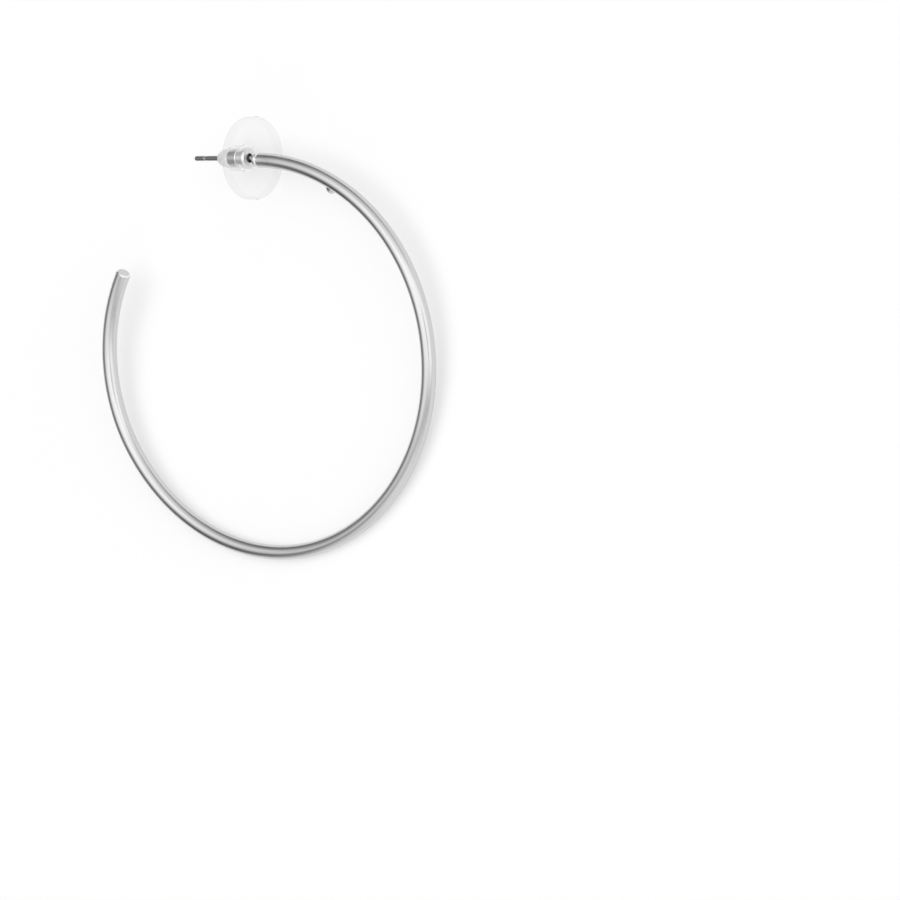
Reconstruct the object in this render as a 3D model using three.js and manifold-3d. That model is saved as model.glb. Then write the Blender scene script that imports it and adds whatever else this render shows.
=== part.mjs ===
// Hoop earring with a push-on bullet clutch. Millimetres, +Z up.
//
// Round wire is bent to an open hoop. A thin post is soldered into one end, and a metal bullet clutch in a
// clear comfort disc is pushed up the post against that end. The hoop lies on its side: the rim of the disc
// props up the post's end, and the wire opposite it touches the surface.

import * as THREE from "three";
import { mergeVertices } from "three/addons/utils/BufferGeometryUtils.js";
import Module from "manifold-3d";

const wasm = await Module();
wasm.setup();

// Wire of the hoop
const wireDiameter = 2.05;
const bendRadius = 27;
// Five bends joined tangent to tangent, from the post's end round to the free end. Hand bending leaves each a
// little wider or tighter than bendRadius: sweep is in degrees, radius is a share of bendRadius.
const bends = [
  { sweep: 40, radius: 1.04 },
  { sweep: 70, radius: 0.99 },
  { sweep: 70, radius: 1.0 },
  { sweep: 60, radius: 1.055 },
  { sweep: 60.8, radius: 0.9 },
];
const wireSides = 20;
const wireStepSweep = 4;

// Free end, sawn askew and chamfered: the cut tilts across the hoop's plane and is skewed within it
const cutTilt = 8;
const cutSkew = 6;
const cutChamfer = 0.22;

// Nub on the inner side of the hoop
const nubDiameter = 1.7;
const nubHeight = 0.7;
const nubFromPostEnd = 13.55;
const nubTurn = 15;
const nubSides = 16;

// Solder at the post's end of the wire
const solderLength = 0.9;
// The swell is highest and then waists at these shares of solderLength from the wire's end
const solderSwellShare = 0.6;
const solderWaistShare = 0.3;
const solderBulge = 0.06;
const solderNoseLength = 0.22;
const solderNoseDiameter = 1.2;
const solderSides = 11;

// Post
const postDiameter = 0.7;
const postLength = 11;
const postSplay = 4;
const postOffset = 0.3;
const postRoot = 1.5;
const postGrooveFromTip = 2;
const postGrooveWidth = 0.4;
const postGrooveDepth = 0.07;
const postSides = 14;

// Clear comfort disc and the hub behind it. Its front face stands discOverWire past the end of the wire, which
// sits that far into its bore.
const discOverWire = 0.2;
const discDiameter = 11.5;
const discThickness = 1.4;
const discRimRadius = 0.35;
const hubLength = 2.7;
const hubBaseDiameter = 5.4;
const hubFlareLength = 1;
const hubDiameter = 3.5;
const hubEndRadius = 0.12;
const discSides = 56;

// Bullet clutch
const bulletLength = 5.3;
const bulletRecess = 1.28;
const lipDiameter = 2.95;
const lipLength = 0.6;
const lipEdge = 0.25;
const barrelDiameter = 2.44;
const mouthDiameter = 1.34;
const mouthDepth = 0.6;
const headDiameter = 2.66;
const headEdge = 0.12;
const headLength = 2.35;
const domeLength = 2.2;
const domeHoleEdge = 0.1;
const barrelGrooveFromMouth = 1.67;
const barrelGrooveWidth = 0.22;
const barrelGrooveDepth = 0.08;
const bulletSides = 28;

// Clearances
const nestedGap = 0.1;

// Weights in grams per cubic millimetre, used only to find how the earring rests. The search tries tips up to
// steepestTip, the tangent of the angle, and narrows in searchRounds steps.
const metalDensity = 0.0085;
const plasticDensity = 0.0012;
const steepestTip = 0.3;
const searchRounds = 36;

// Steps in the rounded parts of the turned profiles
const nubDomeSteps = 6;
const postTipSteps = 5;
const discRimSteps = 4;
const hubFlareSteps = 5;
const hubEndSteps = 3;
const bulletDomeSteps = 7;

const wireRadius = wireDiameter / 2;
const postRadius = postDiameter / 2;
const discRadius = discDiameter / 2;
const boreRadius = postRadius + nestedGap;
const axisOfLathe = new THREE.Vector3(0, 1, 0);
const up = new THREE.Vector3(0, 0, 1);

// Centreline of the wire in the plane of the hoop, starting at the origin along +X and bending clockwise
class BentWire extends THREE.Curve {
  constructor() {
    super();
    this.arcs = [];
    this.length = 0;
    let start = new THREE.Vector2(0, 0);
    let heading = 0;
    for (const bend of bends) {
      const radius = bend.radius * bendRadius;
      const sweep = THREE.MathUtils.degToRad(bend.sweep);
      const centre = new THREE.Vector2(Math.sin(heading), -Math.cos(heading));
      centre.multiplyScalar(radius).add(start);
      this.arcs.push({ from: this.length, centre, heading, radius });
      this.length += radius * sweep;
      heading -= sweep;
      start = new THREE.Vector2(-Math.sin(heading), Math.cos(heading));
      start.multiplyScalar(radius).add(centre);
    }
    this.sweep = -heading;
  }

  // The bend that holds this distance along the wire, and the wire's heading there
  at(distance) {
    const arc = this.arcs.findLast((bend) => bend.from <= distance) ?? this.arcs[0];
    return { arc, heading: arc.heading - (distance - arc.from) / arc.radius };
  }

  getPoint(share, target = new THREE.Vector3()) {
    const { arc, heading } = this.at(share * this.length);
    const x = arc.centre.x - arc.radius * Math.sin(heading);
    const y = arc.centre.y + arc.radius * Math.cos(heading);
    return target.set(x, y, 0);
  }

  getTangent(share, target = new THREE.Vector3()) {
    const { heading } = this.at(share * this.length);
    return target.set(Math.cos(heading), Math.sin(heading), 0);
  }
}

// A closed geometry as a solid for joining and cutting
function solid(geometry) {
  const bare = geometry.clone();
  bare.deleteAttribute("normal");
  bare.deleteAttribute("uv");
  const merged = mergeVertices(bare);
  const mesh = new wasm.Mesh({
    numProp: 3,
    vertProperties: new Float32Array(merged.attributes.position.array),
    triVerts: new Uint32Array(merged.index.array),
  });
  return new wasm.Manifold(mesh);
}

// A solid back as a geometry
function geometryOf(body) {
  const mesh = body.getMesh();
  const geometry = new THREE.BufferGeometry();
  geometry.setAttribute("position", new THREE.BufferAttribute(mesh.vertProperties, 3));
  geometry.setIndex(new THREE.BufferAttribute(mesh.triVerts, 1));
  geometry.computeVertexNormals();
  return geometry;
}

// A turned shape: pairs of radius and height, revolved round the lathe's axis
function turned(profile, sides) {
  return new THREE.LatheGeometry(profile.map(([radius, height]) => new THREE.Vector2(radius, height)), sides);
}

// Points of a quarter of an ellipse between two angles in degrees, for the rounded parts of a profile
function rounded(radius, height, acrossRadius, alongRadius, fromAngle, toAngle, steps) {
  return Array.from({ length: steps + 1 }, (_, step) => {
    const angle = THREE.MathUtils.degToRad(fromAngle + ((toAngle - fromAngle) * step) / steps);
    return [radius + acrossRadius * Math.cos(angle), height + alongRadius * Math.sin(angle)];
  });
}

// Stands a turned shape at a point, with the lathe's axis along a direction
function standing(geometry, point, direction) {
  const turn = new THREE.Quaternion().setFromUnitVectors(axisOfLathe, direction);
  return geometry.clone().applyQuaternion(turn).translate(point.x, point.y, point.z);
}

const wire = new BentWire();
const wireStart = wire.getPoint(0);
const splay = THREE.MathUtils.degToRad(postSplay);
const postDirection = new THREE.Vector3(-Math.cos(splay), 0, -Math.sin(splay));
const postStart = wireStart.clone().add(new THREE.Vector3(0, postOffset, 0));

// The bent wire, round in section
function bentWire() {
  const section = new THREE.Shape(
    Array.from({ length: wireSides }, (_, side) => {
      const angle = (2 * Math.PI * side) / wireSides;
      return new THREE.Vector2(wireRadius * Math.cos(angle), wireRadius * Math.sin(angle));
    }),
  );
  const steps = Math.round(THREE.MathUtils.radToDeg(wire.sweep) / wireStepSweep);
  return new THREE.ExtrudeGeometry(section, { steps, extrudePath: wire, bevelEnabled: false });
}

// What the saw and the file take off the free end: all past a plane, and a slope round its edge
function freeEndWaste() {
  const outward = wire.getTangent(1);
  const tilt = THREE.MathUtils.degToRad(cutTilt);
  const cutNormal = outward.clone().applyAxisAngle(up, -THREE.MathUtils.degToRad(cutSkew));
  cutNormal.multiplyScalar(Math.cos(tilt)).addScaledVector(up, Math.sin(tilt));
  // The plane passes below the wire's corner, so that it takes all of the old end away
  const setBack = wireRadius * Math.tan(cutNormal.angleTo(outward));
  const cutPoint = wire.getPoint(1).addScaledVector(outward, -setBack);
  const reach = wireDiameter;
  const waste = turned(
    [
      [0, 0],
      [wireRadius - cutChamfer, 0],
      [wireRadius - cutChamfer + reach, -reach],
      [wireRadius - cutChamfer + reach, reach],
      [0, reach],
    ],
    wireSides,
  );
  return standing(waste, cutPoint, cutNormal);
}

// A low domed peg on the inner side of the wire, turned a little to the underside
function nub() {
  const share = nubFromPostEnd / wire.length;
  const tangent = wire.getTangent(share);
  const inward = new THREE.Vector3().crossVectors(tangent, up);
  inward.applyAxisAngle(tangent, THREE.MathUtils.degToRad(nubTurn));
  const radius = nubDiameter / 2;
  const foot = wireRadius - radius;
  const shoulder = wireRadius - nubHeight / 2;
  const domeHeight = wireRadius + nubHeight - shoulder;
  const peg = turned([[0, foot], ...rounded(0, shoulder, radius, domeHeight, 0, 90, nubDomeSteps)], nubSides);
  return standing(peg, wire.getPoint(share), inward);
}

// Solder that swells over the last of the wire and runs down to the post
function solder() {
  const bulge = wireRadius + solderBulge;
  const sink = postRadius;
  const bead = turned(
    [
      [0, -solderLength - sink],
      [wireRadius - sink, -solderLength],
      [bulge, -solderLength * solderSwellShare],
      [bulge - solderBulge / 2, -solderLength * solderWaistShare],
      [wireRadius - solderBulge, -solderBulge],
      [solderNoseDiameter / 2, 0],
      [postRadius, solderNoseLength],
      [0, solderNoseLength],
    ],
    solderSides,
  );
  return standing(bead, wireStart, wire.getTangent(0).negate());
}

// The post, with its root inside the wire, a locking groove near the tip and a rounded tip
function post() {
  const groove = postLength - postGrooveFromTip;
  const neck = postRadius - postGrooveDepth;
  const profile = [
    [0, -postRoot],
    [postRadius, -postRoot],
    [postRadius, groove - postGrooveWidth / 2],
    [neck, groove - postGrooveWidth / 4],
    [neck, groove + postGrooveWidth / 4],
    [postRadius, groove + postGrooveWidth / 2],
    ...rounded(0, postLength - postRadius, postRadius, postRadius, 0, 90, postTipSteps),
  ];
  return standing(turned(profile, postSides), postStart, postDirection);
}

// Comfort disc, from its front face at height 0 back to its hub's end, with a stepped bore for the bullet
function comfortDisc() {
  const rim = discRadius - discRimRadius;
  const hubEnd = discThickness + hubLength;
  const hubRadius = hubDiameter / 2;
  const hubBase = hubBaseDiameter / 2;
  const flareEnd = discThickness + hubFlareLength;
  const endRadius = hubEndRadius;
  const lipBore = lipDiameter / 2 + nestedGap;
  const barrelBore = barrelDiameter / 2 + nestedGap;
  const step = bulletRecess + lipLength + nestedGap;
  return turned(
    [
      [lipBore, 0],
      ...rounded(rim, discRimRadius, discRimRadius, discRimRadius, -90, 0, discRimSteps),
      ...rounded(rim, discThickness - discRimRadius, discRimRadius, discRimRadius, 0, 90, discRimSteps),
      ...rounded(hubBase, flareEnd, hubBase - hubRadius, hubFlareLength, -90, -180, hubFlareSteps),
      ...rounded(hubRadius - endRadius, hubEnd - endRadius, endRadius, endRadius, 0, 90, hubEndSteps),
      [barrelBore, hubEnd],
      [barrelBore, step],
      [lipBore, step],
      [lipBore, 0],
    ],
    discSides,
  );
}

// Bullet, from its mouth back to its domed end, bored right through for the post
function bullet() {
  const mouth = bulletRecess;
  const end = mouth + bulletLength;
  const head = end - headLength;
  const dome = end - domeLength;
  const lip = lipDiameter / 2;
  const barrel = barrelDiameter / 2;
  const groove = mouth + barrelGrooveFromMouth;
  const domeFlat = boreRadius + domeHoleEdge;
  return turned(
    [
      [mouthDiameter / 2, mouth],
      [lip - lipEdge, mouth],
      [lip, mouth + lipEdge],
      [lip, mouth + lipLength - headEdge],
      [barrel, mouth + lipLength],
      [barrel, groove - barrelGrooveWidth / 2],
      [barrel - barrelGrooveDepth, groove - barrelGrooveWidth / 4],
      [barrel - barrelGrooveDepth, groove + barrelGrooveWidth / 4],
      [barrel, groove + barrelGrooveWidth / 2],
      [barrel, head],
      [headDiameter / 2, head + headEdge],
      ...rounded(domeFlat, dome, headDiameter / 2 - domeFlat, domeLength, 0, 90, bulletDomeSteps),
      [boreRadius, end],
      [boreRadius, mouth + mouthDepth],
      [mouthDiameter / 2, mouth],
    ],
    bulletSides,
  );
}

// Volume of a closed geometry, and its first moment, from the cones of its triangles to the origin
function weigh(mesh, density) {
  const position = mesh.geometry.toNonIndexed().attributes.position;
  const corner = (index) =>
    new THREE.Vector3().fromBufferAttribute(position, index).applyMatrix4(mesh.matrixWorld);
  const moment = new THREE.Vector3();
  let weight = 0;
  for (let index = 0; index < position.count; index += 3) {
    const [a, b, c] = [corner(index), corner(index + 1), corner(index + 2)];
    const share = (density * a.dot(new THREE.Vector3().crossVectors(b, c))) / 6;
    weight += share;
    moment.addScaledVector(a.add(b).add(c), share / 4);
  }
  return { weight, moment };
}

// The value between low and high where a height with one dip is least
function lowest(low, high, height) {
  let [left, right] = [low, high];
  for (let round = 0; round < searchRounds; round += 1) {
    const third = (right - left) / 3;
    if (height(left + third) < height(right - third)) {
      right -= third;
    } else {
      left += third;
    }
  }
  return (left + right) / 2;
}

// The turn that lays the earring on its side as it rests by itself: of all downward directions near -Z, the
// one that brings its centre of weight closest to the surface that its lowest points touch
function restingTurn(group, densities) {
  group.updateMatrixWorld(true);
  const corners = [];
  const centre = new THREE.Vector3();
  let total = 0;
  group.traverse((mesh) => {
    if (!mesh.isMesh) {
      return;
    }
    const { weight, moment } = weigh(mesh, densities[mesh.name]);
    total += weight;
    centre.add(moment);
    const position = mesh.geometry.attributes.position;
    for (let index = 0; index < position.count; index += 1) {
      corners.push(new THREE.Vector3().fromBufferAttribute(position, index).applyMatrix4(mesh.matrixWorld));
    }
  });
  centre.divideScalar(total);
  const down = (x, y) => new THREE.Vector3(x, y, -1).normalize();
  const drop = (x, y) => {
    const direction = down(x, y);
    const surface = corners.reduce((most, point) => Math.max(most, point.dot(direction)), -Infinity);
    return surface - centre.dot(direction);
  };
  const bestX = (y) => lowest(-steepestTip, steepestTip, (x) => drop(x, y));
  const y = lowest(-steepestTip, steepestTip, (value) => drop(bestX(value), value));
  return new THREE.Quaternion().setFromUnitVectors(down(bestX(y), y), up.clone().negate());
}

function named(name, geometry, color, roughness, metalness, extra = {}) {
  const material = new THREE.MeshStandardMaterial({ color, roughness, metalness, ...extra });
  material.name = name;
  const mesh = new THREE.Mesh(geometry, material);
  mesh.name = name;
  return mesh;
}

// Hoop, solder, nub and post, joined as one piece of soldered metal
const hoopSolid = solid(bentWire())
  .subtract(solid(freeEndWaste()))
  .add(solid(nub()))
  .add(solid(solder()))
  .add(solid(post()));
const hoop = named("hoop", geometryOf(hoopSolid), 0xcdcdcd, 0.22, 1);

// Disc and bullet stand on the post's axis, with the end of the wire just inside the disc's bore
const disc = named("clutch_disc", comfortDisc(), 0xf1f1f1, 0.12, 0, { transparent: true, opacity: 0.45 });
const clutchBullet = named("clutch_bullet", bullet(), 0xb9b9b9, 0.25, 1);
const clutch = new THREE.Group();
clutch.add(disc, clutchBullet);
clutch.quaternion.setFromUnitVectors(axisOfLathe, postDirection);
clutch.position.copy(postStart).addScaledVector(postDirection, -discOverWire);

const lying = new THREE.Group();
lying.add(hoop, clutch);
const turn = restingTurn(lying, {
  hoop: metalDensity,
  clutch_disc: plasticDensity,
  clutch_bullet: metalDensity,
});
lying.quaternion.copy(turn);

// The origin is the middle of the footprint, on the surface
const earring = new THREE.Group();
earring.add(lying);
earring.updateMatrixWorld(true);
const box = new THREE.Box3().setFromObject(earring, true);
const middle = box.getCenter(new THREE.Vector3());
lying.position.set(-middle.x, -middle.y, -box.min.z);

export default earring;
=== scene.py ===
import math

import bpy
import numpy as np
from mathutils import Matrix, Vector


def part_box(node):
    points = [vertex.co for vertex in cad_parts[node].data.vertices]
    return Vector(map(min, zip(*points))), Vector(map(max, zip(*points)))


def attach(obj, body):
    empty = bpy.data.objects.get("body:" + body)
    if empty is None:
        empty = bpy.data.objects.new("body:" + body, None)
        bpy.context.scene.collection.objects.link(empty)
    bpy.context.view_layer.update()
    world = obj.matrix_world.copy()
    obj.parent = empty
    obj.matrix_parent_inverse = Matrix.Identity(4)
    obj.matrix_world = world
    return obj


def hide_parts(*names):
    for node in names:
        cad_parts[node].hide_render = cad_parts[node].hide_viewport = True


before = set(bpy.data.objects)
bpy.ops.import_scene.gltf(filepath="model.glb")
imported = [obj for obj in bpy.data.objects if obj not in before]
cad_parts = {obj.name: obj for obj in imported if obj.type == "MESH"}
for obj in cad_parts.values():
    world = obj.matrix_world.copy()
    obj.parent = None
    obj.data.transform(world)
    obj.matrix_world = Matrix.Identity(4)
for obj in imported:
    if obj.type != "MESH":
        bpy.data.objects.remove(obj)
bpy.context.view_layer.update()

# Bench
# A white light table, lit from below too, so that shadows on it stay faint. Over it a wide soft ceiling leans
# over the near side (+X) and fades toward both ends. A dim wall on the far side draws the dark line along the
# wire, and a low panel stands at the foot end (-Y).
BOARD_HALF_SIDE = 1.5
BOARD_COLOUR = (0.42, 0.42, 0.42, 1)
BOARD_GLOW = 0.475
BOARD_ROUGHNESS = 0.7
BOARD_SPECULAR = 0.2
CEILING_LEAN = 30
CEILING = (0.0, 0.8, 0.29, 1.44)  # brightness from wall to ceiling, by the share of the way up the lean
HEAD_END = (0.3, 0.75, 1, 0.7)
FOOT_END = (0.05, 0.6, 1, 0.35)
FOOT_PANEL = (0.4, 1.0, 0, 0.75)
FOOT_PANEL_WAY = (0.1, -0.995, 0)
CAMERA_SPOT = (0.972, 0.992, 1, 0.6)
CAMERA_SPOT_WAY = (0.66, 0, 0.75)
SOFTBOX_SIDE = 1.4
SOFTBOX_WATTS = 7
SOFTBOX_PLACE = (0.1, 0.1, 1.2)

side = BOARD_HALF_SIDE
board_mesh = bpy.data.meshes.new("board")
board_corners = [(-side, -side, 0), (side, -side, 0), (side, side, 0), (-side, side, 0)]
board_mesh.from_pydata(board_corners, [], [(0, 1, 2, 3)])
board = bpy.data.objects.new("board", board_mesh)
bpy.context.scene.collection.objects.link(board)
board_finish = bpy.data.materials.new("board_matt")
board_finish.use_nodes = True
board_shader = board_finish.node_tree.nodes["Principled BSDF"]
board_shader.inputs["Base Color"].default_value = BOARD_COLOUR
board_shader.inputs["Roughness"].default_value = BOARD_ROUGHNESS
board_shader.inputs["Specular IOR Level"].default_value = BOARD_SPECULAR
board_shader.inputs["Emission Color"].default_value = (1, 1, 1, 1)
board_shader.inputs["Emission Strength"].default_value = BOARD_GLOW
board_mesh.materials.append(board_finish)

world = bpy.data.worlds.new("studio")
world.use_nodes = True
bpy.context.scene.world = world
room = world.node_tree
room.nodes.clear()
look = room.nodes.new("ShaderNodeTexCoord")


def room_band(way, band):
    """Brightness that goes smoothly over a band of the share of the look direction that lies along a way."""
    share = room.nodes.new("ShaderNodeVectorMath")
    share.operation = "DOT_PRODUCT"
    share.inputs[1].default_value = way
    room.links.new(look.outputs["Generated"], share.inputs[0])
    shade = room.nodes.new("ShaderNodeMapRange")
    shade.interpolation_type = "SMOOTHSTEP"
    for socket, value in zip(("From Min", "From Max", "To Min", "To Max"), band):
        shade.inputs[socket].default_value = value
    room.links.new(share.outputs["Value"], shade.inputs["Value"])
    return shade.outputs["Result"]


def joined(operation, first, second):
    """Two brightnesses multiplied or added."""
    joint = room.nodes.new("ShaderNodeMath")
    joint.operation = operation
    room.links.new(first, joint.inputs[0])
    room.links.new(second, joint.inputs[1])
    return joint.outputs[0]


ceiling_way = (math.sin(math.radians(CEILING_LEAN)), 0, math.cos(math.radians(CEILING_LEAN)))
brightness = joined("MULTIPLY", room_band(ceiling_way, CEILING), room_band((0, 1, 0), HEAD_END))
brightness = joined("MULTIPLY", brightness, room_band((0, -1, 0), FOOT_END))
brightness = joined("MULTIPLY", brightness, room_band(CAMERA_SPOT_WAY, CAMERA_SPOT))
brightness = joined("ADD", brightness, room_band(FOOT_PANEL_WAY, FOOT_PANEL))
light = room.nodes.new("ShaderNodeBackground")
light.inputs["Color"].default_value = (1, 1, 1, 1)
room.links.new(brightness, light.inputs["Strength"])
out = room.nodes.new("ShaderNodeOutputWorld")
room.links.new(light.outputs[0], out.inputs["Surface"])

lamp = bpy.data.lights.new("overhead_softbox", "AREA")
lamp.shape = "SQUARE"
lamp.size, lamp.energy = SOFTBOX_SIDE, SOFTBOX_WATTS
softbox = bpy.data.objects.new("overhead_softbox", lamp)
softbox.location = SOFTBOX_PLACE
softbox.rotation_mode = "QUATERNION"
softbox.rotation_quaternion = (-softbox.location).to_track_quat("-Z", "Y")
softbox.visible_glossy = False
bpy.context.scene.collection.objects.link(softbox)

# Hoop wire
# Silver-coloured round wire, bent in one plane and softly polished along its length. Its free end is sawn a
# little askew and filed to a chamfer, whose outer half carries a painted highlight. Lying on its side it is
# tipped, because the disc props up the post's end.
MM = 0.001
WIRE_RADIUS = 1.024 * MM
BEND_RADIUS = 27 * MM
BENDS = (  # sweep in degrees, radius as a share of BEND_RADIUS
    (40, 1.04),
    (70, 0.99),
    (70, 1.0),
    (60, 1.055),
    (60.8, 0.9),
)
CUT_TILT = 8
CUT_SKEW = 6
CUT_CHAMFER = 0.22 * MM
SOLDERED_END = 0.75 * MM
SOLDERED_SHARE = 0.85
WIRE_STEPS = 720
WIRE_SIDES = 64
SHARP_FROM = 32
LYING_TILT = 5.07968
LYING_BEARING = 11.5118
HOOP_COLOUR = (0.64, 0.64, 0.645)
HOOP_ROUGHNESS = 0.2
HOOP_MARKS = (110, 3600, 0.8, 0.3)  # streak length, streak width, streak depth, dent depth
SMUDGE_SCALE = 420
DENT_SCALE = 150
DENT_HEIGHT = 0.06 * MM
STREAK_HEIGHT = 0.012 * MM
# Where the painted highlight on the chamfer lies, and how bright it is
HIGHLIGHT_FROM_SHARE = 0.55
HIGHLIGHT_TO_SHARE = 0.02
CHAMFER_HIGHLIGHT_TONE = 1.5

bearing = math.radians(LYING_BEARING)
tipping_line = Vector((math.cos(bearing), math.sin(bearing), 0))
lying = np.array(Matrix.Rotation(math.radians(LYING_TILT), 3, tipping_line))
wire_length = sum(math.radians(sweep) * share * BEND_RADIUS for sweep, share in BENDS)


def centreline(distances):
    """Points, ways forward and ways sideways on the bends.

    Each bend is an arc, centre + radius * (-sin h, cos h), and its heading h falls by distance / radius.
    """
    points = np.zeros((len(distances), 3))
    headings = np.zeros(len(distances))
    start, heading, run = np.zeros(2), 0.0, 0.0
    for sweep, share in BENDS:
        radius, turn = share * BEND_RADIUS, math.radians(sweep)
        centre = start + radius * np.array([math.sin(heading), -math.cos(heading)])
        here = distances >= run
        h = heading - (distances[here] - run) / radius
        points[here, 0] = centre[0] - radius * np.sin(h)
        points[here, 1] = centre[1] + radius * np.cos(h)
        headings[here] = h
        heading -= turn
        run += radius * turn
        start = centre + radius * np.array([-math.sin(heading), math.cos(heading)])
    flat = np.zeros(len(distances))
    forward = np.stack([np.cos(headings), np.sin(headings), flat], -1)
    sideways = np.stack([-np.sin(headings), np.cos(headings), flat], -1)
    return points, forward, sideways


def hoop_wire():
    """Rings round the centreline, and the distance of each: radius r, angle a, share t of the cut's lean.

    Point = centre + r cos a * (sideways + t skew * forward) + r sin a * (up - t slope * forward), where skew
    is tan(CUT_SKEW) and slope is tan(CUT_TILT) / cos(CUT_SKEW).
    """
    skew = math.tan(math.radians(CUT_SKEW))
    slope = math.tan(math.radians(CUT_TILT)) / math.cos(math.radians(CUT_SKEW))
    face_at = wire_length - WIRE_RADIUS * math.hypot(slope, skew)
    near_end = face_at - 2 * WIRE_RADIUS
    settling = np.linspace(0, 1, 24)[1:]
    filed = np.array([0.04, 0.5, 0.96, 1.0])
    face = np.array([0.97, 0.5])
    distances = np.concatenate([
        np.linspace(0, near_end, WIRE_STEPS),
        near_end + settling * (2 * WIRE_RADIUS - CUT_CHAMFER),
        face_at - CUT_CHAMFER * (1 - filed),
        np.full(len(face), face_at),
    ])
    radii = np.concatenate([
        np.full(WIRE_STEPS + len(settling), WIRE_RADIUS),
        WIRE_RADIUS - CUT_CHAMFER * filed,
        (WIRE_RADIUS - CUT_CHAMFER) * face,
    ])
    # Under the solder the wire's end is drawn in
    radii[distances < SOLDERED_END] *= SOLDERED_SHARE
    leans = np.concatenate([np.zeros(WIRE_STEPS), settling, np.ones(len(filed) + len(face))])
    points, forward, sideways = centreline(distances)
    angles = np.linspace(0, 2 * math.pi, WIRE_SIDES, endpoint=False)
    across = (radii[:, None] * np.cos(angles))[..., None]
    height = (radii[:, None] * np.sin(angles))[..., None]
    breadth = sideways + (leans * skew)[:, None] * forward
    rise = np.array([0, 0, 1]) - (leans * slope)[:, None] * forward
    return points[:, None] + across * breadth[:, None] + height * rise[:, None], distances


def skin(name, rings, along, hollow=False):
    """Closed mesh over rings of points, rings[i, j] being point j of ring i, with quads between neighbours.

    A hollow skin joins its last ring to its first, and its distances along have one value more. Otherwise a
    fan closes each end. UV is in metres: the distance along, and the distance round at the widest ring.
    """
    count, sides = rings.shape[:2]
    i, j = np.meshgrid(np.arange(count if hollow else count - 1), np.arange(sides), indexing="ij")
    after, beside = (i + 1) % count, (j + 1) % sides
    quads = np.stack([i * sides + j, i * sides + beside, after * sides + beside, after * sides + j], -1)
    round_length = np.linalg.norm(rings - np.roll(rings, 1, axis=1), axis=2).sum(1).max()
    u = np.stack([along[i], along[i], along[i + 1], along[i + 1]], -1).reshape(-1)
    v = np.stack([j, j + 1, j + 1, j], -1).reshape(-1) / sides * round_length
    points, faces, uv = rings.reshape(-1, 3), quads.reshape(-1, 4).tolist(), np.stack([u, v], -1)
    if not hollow:
        first, last, far = len(points), len(points) + 1, (count - 1) * sides
        points = np.vstack([points, rings[0].mean(0), rings[-1].mean(0)])
        ring = np.arange(sides)
        faces += np.stack([(ring + 1) % sides, ring, np.full(sides, first)], -1).tolist()
        faces += np.stack([far + ring, far + (ring + 1) % sides, np.full(sides, last)], -1).tolist()
        fan = np.stack([ring + 1, ring, ring + 0.5], -1).reshape(-1) / sides * round_length
        ends = np.concatenate([np.full(sides * 3, along[0]), np.full(sides * 3, along[-1])])
        uv = np.vstack([uv, np.stack([ends, np.concatenate([fan, fan])], -1)])
    mesh = bpy.data.meshes.new(name)
    mesh.from_pydata(points.tolist(), [], faces)
    mesh.uv_layers.new(name="metres").data.foreach_set("uv", uv.astype(np.float32).reshape(-1))
    mesh.polygons.foreach_set("use_smooth", np.ones(len(mesh.polygons), bool))
    mesh.set_sharp_from_angle(angle=math.radians(SHARP_FROM))
    mesh.update()
    piece = bpy.data.objects.new(name, mesh)
    bpy.context.scene.collection.objects.link(piece)
    return piece


def noise(nodes, links, place, scale, detail):
    """A noise texture on a place, as its factor."""
    cloud = nodes.new("ShaderNodeTexNoise")
    cloud.inputs["Scale"].default_value = scale
    cloud.inputs["Detail"].default_value = detail
    links.new(place, cloud.inputs["Vector"])
    return cloud.outputs["Fac"]


def spread(nodes, links, value, *bounds):
    """A value carried from one range, bounds 0 and 1, to another, bounds 2 and 3, and held at the ends."""
    ranged = nodes.new("ShaderNodeMapRange")
    for socket, bound in zip(("From Min", "From Max", "To Min", "To Max"), bounds):
        ranged.inputs[socket].default_value = bound
    links.new(value, ranged.inputs["Value"])
    return ranged.outputs["Result"]


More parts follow.
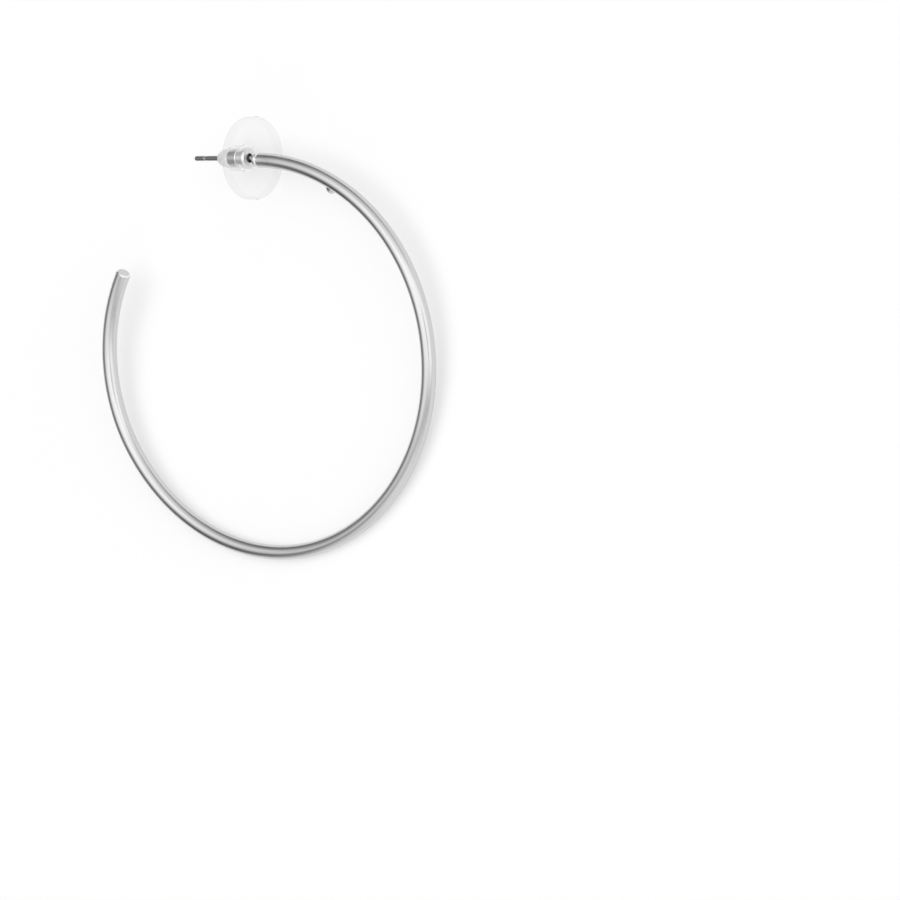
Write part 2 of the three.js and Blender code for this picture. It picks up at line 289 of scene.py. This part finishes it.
def polish_marks():
    """Node group: streaks drawn out along the piece, soft smudges and shallow dents, from UV and Object."""
    group = bpy.data.node_groups.new("polish_marks", "ShaderNodeTree")
    face = group.interface
    face.new_socket("Colour", in_out="INPUT", socket_type="NodeSocketColor")
    for label in ("Roughness", "Streak Length", "Streak Width", "Streak Depth", "Dent Depth"):
        face.new_socket(label, in_out="INPUT", socket_type="NodeSocketFloat")
    face.new_socket("Colour", in_out="OUTPUT", socket_type="NodeSocketColor")
    face.new_socket("Roughness", in_out="OUTPUT", socket_type="NodeSocketFloat")
    face.new_socket("Normal", in_out="OUTPUT", socket_type="NodeSocketVector")
    nodes, links = group.nodes, group.links
    given, result = nodes.new("NodeGroupInput"), nodes.new("NodeGroupOutput")
    places = nodes.new("ShaderNodeTexCoord")
    stretch = nodes.new("ShaderNodeCombineXYZ")
    links.new(given.outputs["Streak Length"], stretch.inputs["X"])
    links.new(given.outputs["Streak Width"], stretch.inputs["Y"])
    drawn = nodes.new("ShaderNodeVectorMath")
    drawn.operation = "MULTIPLY"
    links.new(places.outputs["UV"], drawn.inputs[0])
    links.new(stretch.outputs[0], drawn.inputs[1])
    streaks = noise(nodes, links, drawn.outputs[0], 1, 5)
    smudges = noise(nodes, links, places.outputs["Object"], SMUDGE_SCALE, 3)
    dents = noise(nodes, links, places.outputs["Object"], DENT_SCALE, 2)
    tinted = nodes.new("ShaderNodeVectorMath")
    tinted.operation = "SCALE"
    links.new(given.outputs["Colour"], tinted.inputs[0])
    links.new(spread(nodes, links, streaks, 0.2, 0.8, 0.9, 1.06), tinted.inputs["Scale"])
    links.new(tinted.outputs[0], result.inputs["Colour"])
    rough = nodes.new("ShaderNodeMath")
    rough.operation = "MULTIPLY"
    links.new(given.outputs["Roughness"], rough.inputs[0])
    links.new(spread(nodes, links, smudges, 0.3, 0.7, 0.8, 1.25), rough.inputs[1])
    links.new(rough.outputs[0], result.inputs["Roughness"])
    dented = nodes.new("ShaderNodeBump")
    dented.inputs["Distance"].default_value = DENT_HEIGHT
    links.new(given.outputs["Dent Depth"], dented.inputs["Strength"])
    links.new(dents, dented.inputs["Height"])
    streaked = nodes.new("ShaderNodeBump")
    streaked.inputs["Distance"].default_value = STREAK_HEIGHT
    links.new(given.outputs["Streak Depth"], streaked.inputs["Strength"])
    links.new(streaks, streaked.inputs["Height"])
    links.new(dented.outputs["Normal"], streaked.inputs["Normal"])
    links.new(streaked.outputs["Normal"], result.inputs["Normal"])
    return group


marks = polish_marks()


def metal(name, colour, roughness, streak_length, streak_width, streak_depth, dent_depth):
    """A metal with polish marks of its own strength."""
    finish = bpy.data.materials.new(name)
    finish.use_nodes = True
    nodes, links = finish.node_tree.nodes, finish.node_tree.links
    shader = nodes["Principled BSDF"]
    shader.inputs["Metallic"].default_value = 1.0
    polish = nodes.new("ShaderNodeGroup")
    polish.name = "polish"
    polish.node_tree = marks
    polish.inputs["Colour"].default_value = (*colour, 1)
    polish.inputs["Roughness"].default_value = roughness
    polish.inputs["Streak Length"].default_value = streak_length
    polish.inputs["Streak Width"].default_value = streak_width
    polish.inputs["Streak Depth"].default_value = streak_depth
    polish.inputs["Dent Depth"].default_value = dent_depth
    links.new(polish.outputs["Colour"], shader.inputs["Base Color"])
    links.new(polish.outputs["Roughness"], shader.inputs["Roughness"])
    links.new(polish.outputs["Normal"], shader.inputs["Normal"])
    return finish


wire_rings, wire_along = hoop_wire()
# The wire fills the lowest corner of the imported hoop's box, and that sets where everything lies
wire_start = np.array(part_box("hoop")[0]) - (wire_rings @ lying.T).reshape(-1, 3).min(0)


def laid(points):
    """Points of the flat hoop's own frame, tipped and moved to where the earring lies."""
    return points @ lying.T + wire_start


def bands(finish, socket_name, corner_at, values):
    """Multiplies what feeds a socket by values, each held from one corner to the next along the piece."""
    nodes, links = finish.node_tree.nodes, finish.node_tree.links
    places, outline_place = nodes.new("ShaderNodeTexCoord"), nodes.new("ShaderNodeSeparateXYZ")
    links.new(places.outputs["UV"], outline_place.inputs[0])
    ramp = nodes.new("ShaderNodeValToRGB")
    ramp.color_ramp.interpolation = "CONSTANT"
    stops = ramp.color_ramp.elements
    for number, (corner, value) in enumerate(values):
        stop = stops[0] if number == 0 else stops.new((corner_at[corner] - corner_at[0]) / np.ptp(corner_at))
        stop.color = (value, value, value, 1)
    stops.remove(stops[-1])
    share = spread(nodes, links, outline_place.outputs["X"], corner_at[0], corner_at[-1], 0, 1)
    links.new(share, ramp.inputs["Fac"])
    product = nodes.new("ShaderNodeVectorMath")
    product.operation = "MULTIPLY"
    socket = nodes["Principled BSDF"].inputs[socket_name]
    if socket.is_linked:
        links.new(socket.links[0].from_socket, product.inputs[0])
    else:
        product.inputs[0].default_value = socket.default_value[:3]
    links.new(ramp.outputs["Color"], product.inputs[1])
    links.new(product.outputs[0], socket)


hoop_finish = metal("hoop_metal", HOOP_COLOUR, HOOP_ROUGHNESS, *HOOP_MARKS)
# Painted highlight: the outer half of the chamfer is painted brighter than the wire, standing in for a bright
# reflection
highlight_from = wire_along[-1] - CUT_CHAMFER * HIGHLIGHT_FROM_SHARE
highlight_to = wire_along[-1] - CUT_CHAMFER * HIGHLIGHT_TO_SHARE
highlight_at = np.array([highlight_from - CUT_CHAMFER, highlight_from, highlight_to, wire_along[-1]])
bands(hoop_finish, "Base Color", highlight_at, ((0, 1), (1, CHAMFER_HIGHLIGHT_TONE), (2, 1)))
hoop = skin("hoop_wire", laid(wire_rings), wire_along)
hoop.data.materials.append(hoop_finish)
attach(hoop, "earring")
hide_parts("hoop")

# Nub
# A low domed peg of the same metal on the inner side of the hoop, turned a little to its underside. Like the
# solder, post, disc and bullet it is round about an axis.
NUB_RADIUS = 0.85 * MM
NUB_HEIGHT = 0.7 * MM
NUB_FROM_POST_END = 13.55 * MM
NUB_TURN = 15
NUB_SIDES = 48
NUB_SPACING = 0.06 * MM


def arc(radius, height, across, along, start, end, steps):
    """Quarter of an ellipse in a profile: (radius + across cos a, height + along sin a)."""
    angle = np.radians(np.linspace(start, end, steps + 1))
    return list(zip(radius + across * np.cos(angle), height + along * np.sin(angle)))


def even_profile(corners, spacing):
    """The outline through the corners, each straight stretch in equal steps no longer than the spacing."""
    corners = np.array(corners)
    steps = np.ceil(np.linalg.norm(np.diff(corners, axis=0), axis=1) / spacing).astype(int)
    stretch = np.repeat(np.arange(len(steps)), steps)
    share = (np.arange(len(stretch)) - np.repeat(np.cumsum(steps) - steps, steps)) / steps[stretch]
    points = corners[stretch] + (corners[stretch + 1] - corners[stretch]) * share[:, None]
    return np.vstack([points, corners[-1]])


def outline_length(profile):
    """Distance along a profile at each of its points."""
    return np.concatenate([[0], np.cumsum(np.linalg.norm(np.diff(profile, axis=0), axis=1))])


def revolve(profile, sides, point, direction):
    """Rings of a profile of (radius, height) about an axis: point + height * axis + radius * spoke."""
    axis = np.array(direction) / np.linalg.norm(direction)
    helper = np.array([0, 0, 1]) if abs(axis[2]) < 0.9 else np.array([1, 0, 0])
    first = np.cross(helper, axis)
    first /= np.linalg.norm(first)
    angle = np.linspace(0, 2 * math.pi, sides, endpoint=False)[:, None]
    spokes = np.cos(angle) * first + np.sin(angle) * np.cross(axis, first)
    return np.array(point) + profile[:, 1, None, None] * axis + profile[:, 0, None, None] * spokes


nub_points, _, nub_sideways = centreline(np.array([NUB_FROM_POST_END]))
nub_turn = math.radians(NUB_TURN)
nub_out = -math.cos(nub_turn) * nub_sideways[0] - math.sin(nub_turn) * np.array([0, 0, 1])
nub_corners = [(NUB_RADIUS, WIRE_RADIUS - NUB_RADIUS)]
nub_corners += arc(0, WIRE_RADIUS - NUB_HEIGHT / 2, NUB_RADIUS, NUB_HEIGHT * 1.5, 0, 88, 20)
nub_profile = even_profile(nub_corners, NUB_SPACING)
nub_rings = laid(revolve(nub_profile, NUB_SIDES, nub_points[0], nub_out))
nub = skin("hoop_nub", nub_rings, outline_length(nub_profile))
nub.data.materials.append(hoop_finish)
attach(nub, "earring")
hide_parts("hoop")

# Solder
# Bright hard solder at the post's end of the wire, left crumpled and full of small facets from the torch. It
# runs over the last of the wire and down to the foot of the post.
SOLDER_LENGTH = 0.9 * MM
SOLDER_EDGE_DEPTH = 0.35 * MM
SOLDER_BULGE = 0.06 * MM
SOLDER_SWELL_SHARE = 0.6
SOLDER_WAIST_SHARE = 0.3
SOLDER_NOSE_LENGTH = 0.22 * MM
SOLDER_NOSE_RADIUS = 0.6 * MM
SOLDER_TIP_RADIUS = 0.35 * MM
SOLDER_HIDDEN_RADIUS = 0.02 * MM
SOLDER_LUMP = 0.13 * MM
SOLDER_SPACING = 0.25 * MM
SOLDER_SIDES = 20
SOLDER_COLOUR = (0.86, 0.86, 0.865)
SOLDER_ROUGHNESS = 0.13
SOLDER_MARKS = (3000, 4000, 2, 0.4)

solder_profile = even_profile([
    (WIRE_RADIUS - SOLDER_EDGE_DEPTH, -SOLDER_LENGTH),
    (WIRE_RADIUS + SOLDER_BULGE, -SOLDER_LENGTH * SOLDER_SWELL_SHARE),
    (WIRE_RADIUS + SOLDER_BULGE / 2, -SOLDER_LENGTH * SOLDER_WAIST_SHARE),
    (WIRE_RADIUS - SOLDER_BULGE, -SOLDER_BULGE),
    (SOLDER_NOSE_RADIUS, 0),
    (SOLDER_TIP_RADIUS, SOLDER_NOSE_LENGTH),
    (SOLDER_HIDDEN_RADIUS, SOLDER_NOSE_LENGTH),
], SOLDER_SPACING)


def lumpy(rings):
    """Rings about the X axis, each point drawn in by a share of the lump that looks random.

    For point j of ring i the share is the fractional part of 43758.5453 * sin(12.9898 i + 78.233 j).
    """
    i, j = np.indices(rings.shape[:2])
    share = np.mod(43758.5453 * np.sin(12.9898 * i + 78.233 * j), 1)
    spokes = rings * np.array([0, 1, 1])
    return rings - spokes / WIRE_RADIUS * (SOLDER_LUMP * share)[:, :, None]


solder_rings = lumpy(revolve(solder_profile, SOLDER_SIDES, (0, 0, 0), (-1, 0, 0)))
solder = skin("hoop_solder", laid(solder_rings), outline_length(solder_profile))
solder.data.materials.append(metal("solder_metal", SOLDER_COLOUR, SOLDER_ROUGHNESS, *SOLDER_MARKS))
solder.data.polygons.foreach_set("use_smooth", np.zeros(len(solder.data.polygons), bool))
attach(solder, "earring")
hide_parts("hoop")

# Post
# Drawn steel pin soldered into the wire's end a little off its middle, splayed, with a shallow locking groove
# near its rounded tip.
POST_RADIUS = 0.35 * MM
POST_LENGTH = 11 * MM
POST_SPLAY = 4
POST_OFFSET = 0.3 * MM
POST_ROOT = 0.6 * MM
POST_GROOVE_FROM_TIP = 2 * MM
POST_GROOVE_WIDTH = 0.4 * MM
POST_GROOVE_DEPTH = 0.07 * MM
POST_SIDES = 48
POST_SPACING = 0.08 * MM
POST_COLOUR = (0.36, 0.36, 0.37)
POST_ROUGHNESS = 0.24
POST_MARKS = (600, 9000, 0.4, 0.2)
# Painted highlight in the groove, standing in for its glint
POST_GROOVE_HIGHLIGHT_TONE = 1.4

post_axis = np.array([-math.cos(math.radians(POST_SPLAY)), 0, -math.sin(math.radians(POST_SPLAY))])
post_foot = np.array([0, POST_OFFSET, 0])
groove = POST_LENGTH - POST_GROOVE_FROM_TIP
post_corners = [
    (POST_RADIUS, -POST_ROOT),
    (POST_RADIUS, groove - POST_GROOVE_WIDTH / 2),
    (POST_RADIUS - POST_GROOVE_DEPTH, groove - POST_GROOVE_WIDTH / 4),
    (POST_RADIUS - POST_GROOVE_DEPTH, groove + POST_GROOVE_WIDTH / 4),
    (POST_RADIUS, groove + POST_GROOVE_WIDTH / 2),
] + arc(0, POST_LENGTH - POST_RADIUS, POST_RADIUS, POST_RADIUS, 0, 88, 16)
post_profile = even_profile(post_corners, POST_SPACING)
post_rings = laid(revolve(post_profile, POST_SIDES, post_foot, post_axis))
post = skin("ear_post", post_rings, outline_length(post_profile))
post_finish = metal("post_steel", POST_COLOUR, POST_ROUGHNESS, *POST_MARKS)
post_corner_at = outline_length(np.array(post_corners))
# Painted highlight: the groove's floor is painted brighter, standing in for the glint in the groove
bands(post_finish, "Base Color", post_corner_at, ((0, 1), (2, POST_GROOVE_HIGHLIGHT_TONE), (3, 1)))
post.data.materials.append(post_finish)
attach(post, "earring")
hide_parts("hoop")

# Comfort disc
# Clear soft plastic with a little haze, moulded in one with the short flared hub that grips the bullet. The
# end of the wire sits a little way into its bore.
DISC_OVER_WIRE = 0.2 * MM
NESTED_GAP = 0.1 * MM
DISC_RADIUS = 5.73 * MM
DISC_THICKNESS = 1.4 * MM
DISC_RIM = 0.35 * MM
HUB_LENGTH = 2.7 * MM
HUB_BASE_RADIUS = 2.7 * MM
HUB_FLARE = 1 * MM
HUB_RADIUS = 1.75 * MM
HUB_EDGE = 0.12 * MM
LIP_RADIUS = 1.475 * MM
LIP_LENGTH = 0.6 * MM
BARREL_RADIUS = 1.22 * MM
BULLET_RECESS = 1.28 * MM
DISC_SIDES = 144
DISC_SPACING = 0.2 * MM
PLASTIC_COLOUR = (0.93, 0.93, 0.93, 1)
PLASTIC_CLARITY = 0.985
PLASTIC_IOR = 1.01  # nearly no bending, so that the bullet shows in its place through the disc
PLASTIC_GLOSS = 0.15
PLASTIC_GLOSS_ROUGHNESS = 0.08
HAZE_SCALE = 300
HAZE_ROUGHNESS = (0.02, 0.14)
SHADOW_SHARE = 0.05
# Painted shade on the rim, standing in for the dark edge of thick clear plastic
RIM_SHADE_TONE = 0.95
HUB_TONE = 0.97

clutch_origin = post_foot - post_axis * DISC_OVER_WIRE
lip_bore, barrel_bore = LIP_RADIUS + NESTED_GAP, BARREL_RADIUS + NESTED_GAP
bore_step = BULLET_RECESS + LIP_LENGTH + NESTED_GAP
rim, flare_end, hub_end = DISC_RADIUS - DISC_RIM, DISC_THICKNESS + HUB_FLARE, DISC_THICKNESS + HUB_LENGTH
disc_corners = [(lip_bore, 0)]
disc_corners += arc(rim, DISC_RIM, DISC_RIM, DISC_RIM, -90, 0, 12)
disc_corners += arc(rim, DISC_THICKNESS - DISC_RIM, DISC_RIM, DISC_RIM, 0, 90, 12)
rim_ends = len(disc_corners) - 1
disc_corners += arc(HUB_BASE_RADIUS, flare_end, HUB_BASE_RADIUS - HUB_RADIUS, HUB_FLARE, -90, -180, 10)
disc_corners += arc(HUB_RADIUS - HUB_EDGE, hub_end - HUB_EDGE, HUB_EDGE, HUB_EDGE, 0, 90, 8)
disc_corners += [(barrel_bore, hub_end), (barrel_bore, bore_step), (lip_bore, bore_step), (lip_bore, 0)]
disc_profile = even_profile(disc_corners, DISC_SPACING)
disc_rings = laid(revolve(disc_profile[:-1], DISC_SIDES, clutch_origin, post_axis))
disc = skin("comfort_disc", disc_rings, outline_length(disc_profile), hollow=True)
clear = bpy.data.materials.new("clear_plastic")
clear.use_nodes = True
clear_nodes, clear_links = clear.node_tree.nodes, clear.node_tree.links
clear_shader = clear_nodes["Principled BSDF"]
clear_shader.inputs["Base Color"].default_value = PLASTIC_COLOUR
clear_shader.inputs["Transmission Weight"].default_value = PLASTIC_CLARITY
clear_shader.inputs["IOR"].default_value = PLASTIC_IOR
clear_shader.inputs["Coat Weight"].default_value = PLASTIC_GLOSS
clear_shader.inputs["Coat Roughness"].default_value = PLASTIC_GLOSS_ROUGHNESS
clear_places = clear_nodes.new("ShaderNodeTexCoord")
haze = noise(clear_nodes, clear_links, clear_places.outputs["Object"], HAZE_SCALE, 3)
haze_roughness = spread(clear_nodes, clear_links, haze, 0, 1, *HAZE_ROUGHNESS)
clear_links.new(haze_roughness, clear_shader.inputs["Roughness"])
# Painted shade: the rim is painted a little darker, standing in for the dark edge of thick clear plastic. The
# hub is a little darker too
disc_tones = ((0, 1), (1, RIM_SHADE_TONE), (rim_ends, 1), (rim_ends + 1, HUB_TONE))
bands(clear, "Base Color", outline_length(np.array(disc_corners)), disc_tones)
# Light passes the plastic almost whole, so that it casts a faint shadow
ray = clear_nodes.new("ShaderNodeLightPath")
solidity = spread(clear_nodes, clear_links, ray.outputs["Is Shadow Ray"], 0, 1, 1, SHADOW_SHARE)
clear_links.new(solidity, clear_shader.inputs["Alpha"])
disc.data.materials.append(clear)
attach(disc, "clutch")
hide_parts("clutch_disc")

# Bullet clutch
# Turned metal, with a lip at its mouth, a plain barrel with one fine groove, and a long domed nose. The post
# passes right through its bore, whose inside is painted almost black, painted shade for the deep hole. The
# front of the barrel carries a painted highlight and its rear painted shade.
BULLET_LENGTH = 5.3 * MM
MOUTH_RADIUS = 0.67 * MM
MOUTH_DEPTH = 0.6 * MM
LIP_EDGE = 0.25 * MM
HEAD_RADIUS = 1.33 * MM
HEAD_EDGE = 0.12 * MM
HEAD_LENGTH = 2.35 * MM
DOME_LENGTH = 2.2 * MM
DOME_HOLE_EDGE = 0.1 * MM
BARREL_GROOVE_FROM_MOUTH = 1.67 * MM
BARREL_GROOVE_WIDTH = 0.22 * MM
BARREL_GROOVE_DEPTH = 0.08 * MM
BULLET_SIDES = 96
BULLET_SPACING = 0.1 * MM
BULLET_COLOUR = (0.84, 0.84, 0.845)
BULLET_ROUGHNESS = 0.34
BULLET_MARKS = (9000, 400, 0.5, 0.15)
HEAD_TONE = 1.16
HEAD_ROUGHENING = 2.2
# Painted highlight on the front of the barrel, painted shade on its rear and in the bore
FRONT_BARREL_HIGHLIGHT_TONE = 1.16
REAR_BARREL_SHADE_TONE = 0.72
BORE_SHADE_TONE = 0.06

mouth = BULLET_RECESS
bullet_end = mouth + BULLET_LENGTH
head = bullet_end - HEAD_LENGTH
ring_at = mouth + BARREL_GROOVE_FROM_MOUTH
bore = POST_RADIUS + NESTED_GAP
dome_flat = bore + DOME_HOLE_EDGE
outside_corners = [
    (MOUTH_RADIUS, mouth),
    (LIP_RADIUS - LIP_EDGE, mouth),
    (LIP_RADIUS, mouth + LIP_EDGE),
    (LIP_RADIUS, mouth + LIP_LENGTH - HEAD_EDGE),
    (BARREL_RADIUS, mouth + LIP_LENGTH),
    (BARREL_RADIUS, ring_at - BARREL_GROOVE_WIDTH / 2),
    (BARREL_RADIUS - BARREL_GROOVE_DEPTH, ring_at - BARREL_GROOVE_WIDTH / 4),
    (BARREL_RADIUS - BARREL_GROOVE_DEPTH, ring_at + BARREL_GROOVE_WIDTH / 4),
    (BARREL_RADIUS, ring_at + BARREL_GROOVE_WIDTH / 2),
    (BARREL_RADIUS, head),
    (HEAD_RADIUS, head + HEAD_EDGE),
] + arc(dome_flat, bullet_end - DOME_LENGTH, HEAD_RADIUS - dome_flat, DOME_LENGTH, 0, 90, 20)
bore_corners = [(bore, bullet_end), (bore, mouth + MOUTH_DEPTH), (MOUTH_RADIUS, mouth)]
bullet_profile = even_profile(outside_corners + bore_corners, BULLET_SPACING)
bullet_rings = laid(revolve(bullet_profile[:-1], BULLET_SIDES, clutch_origin, post_axis))
bullet = skin("clutch_bullet_turned", bullet_rings, outline_length(bullet_profile), hollow=True)
bullet_finish = metal("clutch_metal", BULLET_COLOUR, BULLET_ROUGHNESS, *BULLET_MARKS)
# By corner of the outline: the lip, the front of the barrel with a painted highlight, its rear with painted
# shade, the lighter satin head, and the bore with painted shade almost black
corner_at, into_bore = outline_length(np.array(outside_corners + bore_corners)), len(outside_corners)
barrel_tones = ((4, FRONT_BARREL_HIGHLIGHT_TONE), (8, REAR_BARREL_SHADE_TONE), (9, HEAD_TONE))
bands(bullet_finish, "Base Color", corner_at, ((0, 1), *barrel_tones, (into_bore, BORE_SHADE_TONE)))
bands(bullet_finish, "Roughness", corner_at, ((0, 1), (9, HEAD_ROUGHENING), (into_bore, 1)))
bullet.data.materials.append(bullet_finish)
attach(bullet, "clutch")
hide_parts("clutch_bullet")

# Camera
# A long lens, so that the earring shows almost without perspective. The hoop's plane is turned about a line
# that leans a little from the picture's upright.
HOOP_TURN = 37
HOOP_LEAN = 9.14
PICTURE_SIDE = 900
PIXELS_PER_MM = 7.3
LENS = 600
SENSOR = 36
HOOP_MIDDLE_FROM_START = (0.53 * MM, -27.05 * MM, 0)
HOOP_MIDDLE_PIXEL = (270, 357)

turn_angle, lean_angle = math.radians(HOOP_TURN), math.radians(HOOP_LEAN)
sidelong = -math.sin(turn_angle)
normal = np.array([sidelong * math.cos(lean_angle), sidelong * math.sin(lean_angle), math.cos(turn_angle)])
level = np.array([normal[2], 0, -normal[0]])
level /= np.linalg.norm(level)
# Rows are the picture's axes, right, up and toward the viewer, seen from the hoop's own
right, picture_up, toward = np.stack([level, np.cross(normal, level), normal], -1) @ lying.T
distance = LENS * (PICTURE_SIDE / PIXELS_PER_MM) / SENSOR * MM
place = laid(np.array(HOOP_MIDDLE_FROM_START)) + toward * distance
place = place + right * (PICTURE_SIDE / 2 - HOOP_MIDDLE_PIXEL[0]) / PIXELS_PER_MM * MM
place = place - picture_up * (PICTURE_SIDE / 2 - HOOP_MIDDLE_PIXEL[1]) / PIXELS_PER_MM * MM
camera_data = bpy.data.cameras.new("camera")
camera_data.lens = LENS
camera_data.sensor_width = SENSOR
camera_data.clip_start = 0.05
camera_data.clip_end = 10
camera = bpy.data.objects.new("camera", camera_data)
bpy.context.scene.collection.objects.link(camera)
camera.location = place
camera.rotation_mode = "QUATERNION"
camera.rotation_quaternion = Matrix(np.stack([right, picture_up, toward], -1).tolist()).to_quaternion()
bpy.context.scene.camera = camera
bpy.context.scene.view_settings.view_transform = "Standard"
